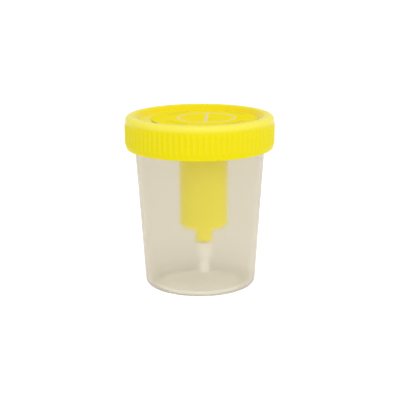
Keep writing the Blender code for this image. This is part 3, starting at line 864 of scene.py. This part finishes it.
@dataclass
class Lid:
    """The ribbed lid: skirt, raised rim, recessed plate with an off-centre opening, plug and lugs."""

    thread: QuickThread
    height: float = 14.7
    skirt: float = 32.65
    skirt_low: float = 32.45
    bore: float = 30.2
    shoulder: float = 3.81
    crest_round: float = 0.9
    crest: float = 28.74
    recess: float = 25.64
    recess_round: float = 1.1
    recess_depth: float = 2.1
    plate: float = 1.5
    channel_depth: float = 2.7
    plug: float = 26.9
    plug_wall: float = 1.0
    plug_depth: float = 3.0
    opening: float = 10.9
    counterbore: float = 12.9
    collar: float = 14.5
    collar_depth: float = 2.2
    lower_corner: float = 2.2
    ribs: int = 80
    rib_height: float = 0.38
    rib_width: float = 1.2
    rib_ease: float = 0.9
    rib_span: tuple[float, float] = (-0.5, 0.6)
    # How strong the painted highlight is on the rib crests and the rim's outer shoulder, and where it and
    # the painted shade on the sloped recess wall fade in, in millimetres.
    rib_painted_highlight: float = 0.12
    crest_rise: tuple[float, float] = (0.05, 0.3)
    shoulder_painted_highlight: float = 0.75
    shoulder_rise: tuple[float, float] = (0.6, 2.2)
    outward_rise: tuple[float, float] = (0.3, 1.5)
    slope_rise: tuple[float, float] = (0.0, 0.3)
    slope_fall: tuple[float, float] = (-0.7, -0.15)
    lug_z: float = 64.6
    spacing: float = 0.62
    per_rib: int = 6

    def section(self, top: float) -> np.ndarray:
        """The lid's closed section, from the skirt's lower edge up the outside and back inside.

        Args:
            top: the rim's crest.

        Returns:
            The section's rows.
        """
        low = top - self.height
        floor = top - self.recess_depth
        under = floor - self.plate
        collar_z = under - self.collar_depth
        plug_z = under - self.plug_depth
        channel = top - self.channel_depth
        inner_plug = self.plug - self.plug_wall
        return rounded_section([
            (self.skirt_low, low, self.lower_corner), (self.skirt, top, self.shoulder),
            (self.crest - 0.25, top, self.crest_round), (self.recess, floor, self.recess_round),
            (self.counterbore, floor, 0.15, WELL_X), (self.counterbore, under, 0.1, WELL_X),
            (self.opening, under, 0.15, WELL_X), (self.opening, collar_z, 0.2, WELL_X),
            (self.collar, collar_z, 0.6, WELL_X), (self.collar, under, 0.6, WELL_X),
            (inner_plug, under, 0.6), (inner_plug, plug_z, 0.25), (self.plug, plug_z, 0.45),
            (self.plug, channel, 0.2), (self.bore, channel, 0.4), (self.bore, low, 0.3),
        ], self.spacing)

    def painted_shade_and_highlight(self, places: np.ndarray, top: float) -> np.ndarray:
        """How much painted shade the lid's colour gets: its sloped recess wall most, its ribs less, its
        outer shoulder least, where painted highlight goes instead.

        Args:
            places: the lid's vertices.
            top: the rim's crest.

        Returns:
            From one, full painted shade, to minus one, full painted highlight.
        """
        x, y, z = places.T
        out = np.hypot(x, y)
        floor = top - self.recess_depth
        slope = smooth_step(*self.slope_rise, z - floor) * (1.0 - smooth_step(*self.slope_fall, z - top))
        outward = smooth_step(*self.outward_rise, out - self.crest)
        shoulder = smooth_step(*self.shoulder_rise, z - top + self.shoulder) * outward
        crests = smooth_step(*self.crest_rise, out - self.skirt)
        inward = out < self.crest - self.outward_rise[0]
        # Painted shade on the recess wall, less painted highlight on the shoulder and the rib crests.
        return slope * inward - self.shoulder_painted_highlight * shoulder - self.rib_painted_highlight * crests

    def rib_relief(self, angle: np.ndarray, section: np.ndarray, top: float) -> np.ndarray:
        """Half-round ribs on the skirt: height * sqrt(1 - (2 x / width) ** 2) about each rib's middle.

        Args:
            angle: (1, around) angles.
            section: the section's rows.
            top: the rim's crest.

        Returns:
            A (rows, around) grid.
        """
        share = np.mod(angle * self.ribs / TURN + 0.5, 1.0) - 0.5
        across = share * TURN / self.ribs * self.skirt
        bump = np.sqrt(np.clip(1.0 - (2.0 * across / self.rib_width) ** 2, 0.0, 1.0))
        z = section[:, 1:2]
        lower = top - self.height + self.lower_corner + self.rib_span[0]
        upper = top - self.shoulder + self.rib_span[1]
        window = smooth_step(lower, lower + self.rib_ease, z)
        window = window * (1.0 - smooth_step(upper - self.rib_ease, upper, z))
        outside = section[:, :1] > (self.skirt + self.bore) / 2
        return self.rib_height * bump * window * outside

    def build(self) -> None:
        """Make the lid."""
        top = heights("screw_lid")[1]
        section = self.section(top)
        around = self.ribs * self.per_rib
        angle = angles(around)
        relief = self.rib_relief(angle, section, top)
        thread = self.thread
        start = thread.first + thread.lug_lead_in
        lug_low = self.lug_z + thread.lead * thread.lug_lead_in / TURN
        lugs = thread.height_at(angle, section[:, 1:2], start, thread.lug_sweep, lug_low)
        relief = relief - lugs * (np.abs(section[:, :1] - self.bore) < NEAR)
        grid = turned_points(section, around, relief)
        piece = add_piece("lid_shell", grid, Body.LID, Slot.LID, LID_FINISH.build(), "screw_lid")
        # The lid's colour mark: painted shade on the recess wall, painted highlight on the shoulder and rib
        # crests.
        mark_tint_and_painted_light(piece, self.painted_shade_and_highlight(vertex_places(piece), top))


@dataclass
class TransferSet:
    """What hangs in the lid: well, hub, needle, rubber sleeve, straw socket and straw.

    A grid is the longest stretch along the section, and how many points a full turn has.
    """

    well_bore: float = 9.3
    well_wall: float = 1.3
    well_corner: float = 1.8
    well_floor: float = 1.5
    well_bottom: float = 26.2
    flange: float = 12.6
    flange_thickness: float = 1.2
    tube_bore: float = 2.7
    tube_radius: float = 3.75
    tube_length: float = 6.7
    hub_flange: float = 4.0
    hub_flange_thickness: float = 1.8
    hub_nose: float = 1.7
    hub_bore: float = 0.8
    hub_flutes: int = 12
    flute_depth: float = 0.35
    needle: float = 0.5
    needle_bore: float = 0.3
    needle_point: float = 1.8
    point_reach: float = 1.2
    sleeve_bore: float = 2.0
    sleeve: float = 2.7
    piercing: float = 0.6
    fold_pitch: float = 1.4
    fold_depth: float = 0.14
    held_rise: tuple[float, float] = (0.4, 1.4)
    held_fall: tuple[float, float] = (-1.2, -0.3)
    dome_ease: float = 0.1
    dome_rows: int = 14
    socket_seat: float = 2.4
    socket_bore: float = 1.5
    seat_depth: float = 4.6
    spigot_length: float = 2.0
    grip_pitch: float = 1.3
    grip_depth: float = 0.12
    grip_rise: tuple[float, float] = (0.6, 1.2)
    grip_fall: tuple[float, float] = (0.0, 0.6)
    straw_wall: float = 0.7
    outline_ease: float = 0.15
    well_grid: tuple[float, int] = (0.8, 144)
    hub_grid: tuple[float, int] = (0.3, 96)
    needle_grid: tuple[float, int] = (0.6, 32)
    sleeve_grid: tuple[float, int] = (0.16, 64)
    socket_grid: tuple[float, int] = (0.2, 72)
    straw_grid: tuple[float, int] = (0.7, 56)

    def outline(self, node: str) -> float:
        """A CAD node's outer radius, with outline_ease, because facets keep the box a little small."""
        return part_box(node)[1][0] / MM - WELL_X + self.outline_ease

    def build(self) -> None:
        """Make all that hangs in the lid."""
        self.well()
        self.hub()
        self.steel()
        self.rubber()
        self.straw()

    def well(self) -> None:
        """The well: flange, long cup and the narrow tube under it."""
        top = heights("tube_well")[1]
        spacing, around = self.well_grid
        outer = self.well_bore + self.well_wall
        tube_z = self.well_bottom - self.tube_length
        floor = self.well_bottom + self.well_floor
        flange_z = top - self.flange_thickness
        section = rounded_section([
            (self.tube_bore, tube_z, 0.15), (self.tube_radius, tube_z, 0.25),
            (self.tube_radius, self.well_bottom, 0.8), (outer, self.well_bottom, self.well_corner),
            (outer, flange_z, 0.4), (self.flange, flange_z, 0.15), (self.flange, top, 0.2),
            (self.well_bore, top, 0.6), (self.well_bore, floor, 1.2),
            (self.tube_bore, floor, 0.3),
        ], spacing, offset=WELL_X)
        grid = turned_points(section, around)
        add_piece("tube_holder", grid, Body.LID, Slot.WELL, WELL_FINISH.build(), "tube_well")

    def hub(self) -> None:
        """The hub, its flange fluted by depth * (1 - cos(flutes * angle)) / 2."""
        low, high = heights("needle_hub")
        spacing, around = self.hub_grid
        flange_z = self.well_bottom + self.well_floor + SEAT_GAP
        nose_z = flange_z + self.hub_flange_thickness
        stem = self.tube_bore - SEAT_GAP
        section = rounded_section([
            (self.hub_bore, low, 0.1), (stem, low, 0.3), (stem, flange_z, 0.2),
            (self.hub_flange, flange_z, 0.1), (self.hub_flange, nose_z, 0.3),
            (self.hub_nose, nose_z, 0.2), (self.hub_nose, high, 0.3),
            (self.hub_bore, high, 0.1),
        ], spacing, offset=WELL_X)
        flutes = -self.flute_depth * (1.0 - np.cos(self.hub_flutes * angles(around))) / 2.0
        flutes = flutes * (section[:, :1] > (self.hub_flange + self.hub_nose) / 2)
        grid = turned_points(section, around, flutes)
        add_piece("hub_plug", grid, Body.LID, Slot.HUB, HUB_FINISH.build(), "needle_hub")

    def steel(self) -> None:
        """The needle: a tube whose upper end is cut slantwise, z falling with x across the tube."""
        low, high = heights("cannula")
        spacing, around = self.needle_grid
        section = rounded_section([
            (self.needle_bore, low, 0.03), (self.needle, low, 0.05),
            (self.needle, high, 0.03), (self.needle_bore, high, 0.03),
        ], spacing, offset=WELL_X)
        grid = turned_points(section, around)
        upper = smooth_step(high - self.point_reach, high - NEAR, grid[..., 2])
        across = (grid[..., 0] - WELL_X) / (2.0 * self.needle)
        grid[..., 2] -= upper * self.needle_point * (0.5 - across)
        add_piece("needle_tube", grid, Body.LID, Slot.NEEDLE, NEEDLE_FINISH.build(), "cannula")

    def rubber(self) -> None:
        """The sleeve's barrel, gently folded so that it bunches, and its domed tip.

        The barrel's outside is radius + depth * sin(turn * z / pitch), held in at both ends.
        """
        material = SLEEVE_FINISH.build()
        low, high = heights("needle_sleeve")
        spacing, around = self.sleeve_grid
        outer = self.sleeve - self.fold_depth
        section = rounded_section([
            (self.sleeve_bore, low, 0.1), (outer, low, 0.25),
            (outer, high, 0.2), (self.sleeve_bore, high, 0.1),
        ], spacing, offset=WELL_X)
        z = section[:, 1:2]
        held = smooth_step(*self.held_rise, z - low) * (1.0 - smooth_step(*self.held_fall, z - high))
        folds = self.fold_depth * np.sin(TURN * (z - low) / self.fold_pitch) * held
        folds = folds * (section[:, :1] > outer - NEAR)
        grid = turned_points(section, around, folds)
        barrel = add_piece("sleeve_barrel", grid, Body.LID, Slot.SLEEVE, material, "needle_sleeve")
        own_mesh(barrel)

        tip_low, tip_high = heights("sleeve_tip")
        dome_z = tip_high - math.sqrt(self.sleeve ** 2 - self.piercing ** 2)
        arcs = []
        for radius in (self.sleeve, self.sleeve_bore):
            turn = np.linspace(0.0, math.acos(self.piercing / radius), self.dome_rows)
            arcs.append(np.column_stack([radius * np.cos(turn), dome_z + radius * np.sin(turn)]))
        outside, inside = arcs
        ease = self.dome_ease
        rows = np.vstack([
            [(self.sleeve_bore, tip_low + ease), (self.sleeve_bore + ease, tip_low)],
            [(self.sleeve - ease, tip_low), (self.sleeve, tip_low + ease)], outside, inside[::-1],
        ])
        section = np.column_stack([rows, np.full(len(rows), WELL_X)])
        grid = turned_points(section, around)
        add_piece("sleeve_dome", grid, Body.SLEEVE, Slot.SLEEVE, material, "sleeve_tip")

    def straw(self) -> None:
        """The stepped socket and the straw in it; its rings are depth * (1 - cos(turn * z / pitch)) / 2."""
        material = STRAW_FINISH.build()
        low, high = heights("straw_socket")
        spacing, around = self.socket_grid
        radius = self.outline("straw_socket")
        seat, bore, spigot = self.socket_seat, self.socket_bore, self.tube_bore - SEAT_GAP
        body_top = high - self.spigot_length
        step = low + self.seat_depth
        section = rounded_section([
            (seat, low, 0.15), (radius, low, 0.6), (radius, body_top, 0.4),
            (spigot, body_top, 0.1), (spigot, high, 0.2), (bore, high, 0.2),
            (bore, step, 0.1), (seat, step, 0.1),
        ], spacing, offset=WELL_X)
        z = section[:, 1:2]
        rings = -self.grip_depth * (1.0 - np.cos(TURN * (z - low) / self.grip_pitch)) / 2.0
        held = smooth_step(*self.grip_rise, z - low) * (1.0 - smooth_step(*self.grip_fall, z - step))
        rings = rings * held * (section[:, :1] > radius - NEAR)
        grid = turned_points(section, around, rings)
        add_piece("straw_connector", grid, Body.LID, Slot.STRAW, material, "straw_socket")

        low, high = heights("suction_straw")
        spacing, around = self.straw_grid
        outer = self.outline("suction_straw")
        inner = outer - self.straw_wall
        section = rounded_section([
            (inner, low, 0.1), (outer, low, 0.2),
            (outer, high, 0.2), (inner, high, 0.1),
        ], spacing, offset=WELL_X)
        grid = turned_points(section, around)
        add_piece("straw_tube", grid, Body.LID, Slot.STRAW, material, "suction_straw")


@dataclass
class Seal:
    """Flat ring between rim and lid, with rounded edges and a bead that the rim bites on."""

    inner: float = 27.2
    bead: float = 0.12
    bead_middle: float = 27.8
    bead_half: float = 0.4
    spacing: float = 0.3
    around: int = 192

    def build(self) -> None:
        """Make the seal."""
        low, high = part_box("lid_seal")
        outer, bottom, top = high[0] / MM, low[2] / MM, high[2] / MM
        face = bottom + self.bead
        section = rounded_section([
            (self.inner, face, 0.25), (self.bead_middle - self.bead_half, face, 0.2),
            (self.bead_middle, bottom, 0.15), (self.bead_middle + self.bead_half, face, 0.2),
            (outer, face, 0.35), (outer, top, 0.35), (self.inner, top, 0.25),
        ], self.spacing)
        grid = turned_points(section, self.around)
        add_piece("seal_ring", grid, Body.SEAL, Slot.SEAL, SEAL_FINISH.build(), "lid_seal")


@dataclass
class Label:
    """Round film in the lid's recess."""

    middle: float = 2.1
    radius: float = 23.25
    thickness: float = 0.2
    edge_drop: float = 0.12
    wave: float = 0.03
    around: int = 216
    rings: int = 96
    bend_from: float = 0.1
    bend_to: float = 2.8

    def build(self) -> None:
        """Make the label: z = top - drop * (r / R) ** 8 + a faint wave, over a plain disc."""
        fold, _, top = (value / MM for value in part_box("label_flap")[1])
        out = np.linspace(0.0, 1.0, self.rings)
        outward = np.column_stack([out * self.radius, np.full(self.rings, top - self.thickness)])
        inward = np.column_stack([out[::-1] * self.radius, np.full(self.rings, top)])
        section = np.column_stack([np.vstack([outward, inward]), np.full(2 * self.rings, self.middle)])
        grid = turned_points(section, self.around)
        share = section[:, :1] / self.radius
        angle = angles(self.around)
        wave = self.wave * (np.sin(2.0 * angle + 0.8) + np.sin(3.0 * angle)) * share ** 2
        grid[..., 2] += wave - self.edge_drop * share ** 8 - 2.0 * self.wave
        piece = mesh_from_grid("safety_film", grid, closed=False)
        add_flat_map(piece, (self.middle, 0.0), LABEL_FINISH.map_mm)
        piece.data.materials.append(LABEL_FINISH.build())
        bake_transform(piece)
        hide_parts("label_anchor", "label_flap")
        LOG.info("%s: %d faces from lid to label", piece.name, len(piece.data.polygons))


# ---------------------------------------------------------------- studio
@dataclass(frozen=True)
class Lamp:
    """A far soft light, the same all over the table.

    It stands azimuth degrees from +X towards +Y and elevation degrees up, and looks width degrees
    wide. Its strength is the light that it throws on a surface facing it.
    """

    name: str
    azimuth: float
    elevation: float
    width: float
    strength: float

    def build(self) -> None:
        """Add the light."""
        data = bpy.data.lights.new(self.name, "SUN")
        data.angle = math.radians(self.width)
        data.energy = self.strength
        light = bpy.data.objects.new(self.name, data)
        light.rotation_euler = (0.0, math.radians(90.0 - self.elevation), math.radians(self.azimuth))
        bpy.context.collection.objects.link(light)


@dataclass
class Studio:
    """Pale floor, soft lights and the camera."""

    distance: float = 0.55
    height: float = 0.0378
    elevation: float = math.radians(13.27)
    roll: float = math.radians(-0.3)
    lens: float = 111.25
    film_width: float = 36.0
    clip: tuple[float, float] = (0.01, 50.0)
    sky: float = 0.8
    backdrop: float = 1.1
    table_half: float = 6.0
    table_drop: float = 0.0002
    table_glow: float = 0.78
    lamps: tuple[Lamp, ...] = (
        Lamp("above", azimuth=-85.0, elevation=68.0, width=26.0, strength=1.1),
        Lamp("right", azimuth=-60.0, elevation=22.0, width=40.0, strength=0.45),
    )

    def build_camera(self) -> None:
        """Look at the cup's middle from the front and a little above."""
        data = bpy.data.cameras.new("view")
        data.lens = self.lens
        data.sensor_width = self.film_width
        data.clip_start, data.clip_end = self.clip
        camera = bpy.data.objects.new("view", data)
        back = Vector((0.0, -math.cos(self.elevation), math.sin(self.elevation))) * self.distance
        turn = Matrix.Rotation(math.pi / 2 - self.elevation, 4, "X") @ Matrix.Rotation(self.roll, 4, "Z")
        camera.matrix_world = Matrix.Translation(Vector((0.0, 0.0, self.height)) + back) @ turn
        bpy.context.collection.objects.link(camera)
        bpy.context.scene.camera = camera

    def build_floor(self) -> None:
        """A wide plain light table of opal acrylic, which glows a little, so that shadows stay faint."""
        mesh = bpy.data.meshes.new("floor")
        signs = ((-1, -1), (1, -1), (1, 1), (-1, 1))
        corners = [(x * self.table_half, y * self.table_half, -self.table_drop) for x, y in signs]
        mesh.from_pydata(corners, [], [(0, 1, 2, 3)])
        floor = bpy.data.objects.new("floor", mesh)
        bpy.context.collection.objects.link(floor)
        finish = Finish("opal acrylic", "#9c9c9b", "#9a9a99", roughness=0.8, specular=0.1, mottle_mm=400.0)
        material = finish.build()
        shader = material.node_tree.nodes["Principled BSDF"]
        shader.inputs["Emission Color"].default_value = linear("#ffffff")
        shader.inputs["Emission Strength"].default_value = self.table_glow
        mesh.materials.append(material)

    def build_lights(self) -> None:
        """An even white surround, a little brighter where it is looked at, and the lamps."""
        world = bpy.data.worlds.new("surround")
        world.use_nodes = True
        tree = world.node_tree
        surround = tree.nodes["Background"]
        surround.inputs["Color"].default_value = (1.0, 1.0, 1.0, 1.0)
        seen = add_node(tree, "ShaderNodeLightPath", {}).outputs["Is Camera Ray"]
        strength = add_node(
            tree, "ShaderNodeMapRange", {}, Value=seen, To_Min=self.sky, To_Max=self.backdrop,
        )
        tree.links.new(strength.outputs[0], surround.inputs["Strength"])
        bpy.context.scene.world = world
        for lamp in self.lamps:
            lamp.build()

    def build(self) -> None:
        """Set up camera, floor and lights, with colours shown as they are."""
        self.build_camera()
        self.build_floor()
        self.build_lights()
        bpy.context.scene.view_settings.view_transform = "Standard"


def main() -> None:
    """Build the studio and every piece."""
    logging.basicConfig(level=logging.INFO, format="%(name)s %(message)s")
    Studio().build()
    thread = QuickThread()
    for part in (Cup(thread), Lid(thread), TransferSet(), Seal(), Label()):
        part.build()


if __name__ == "__main__":
    main()
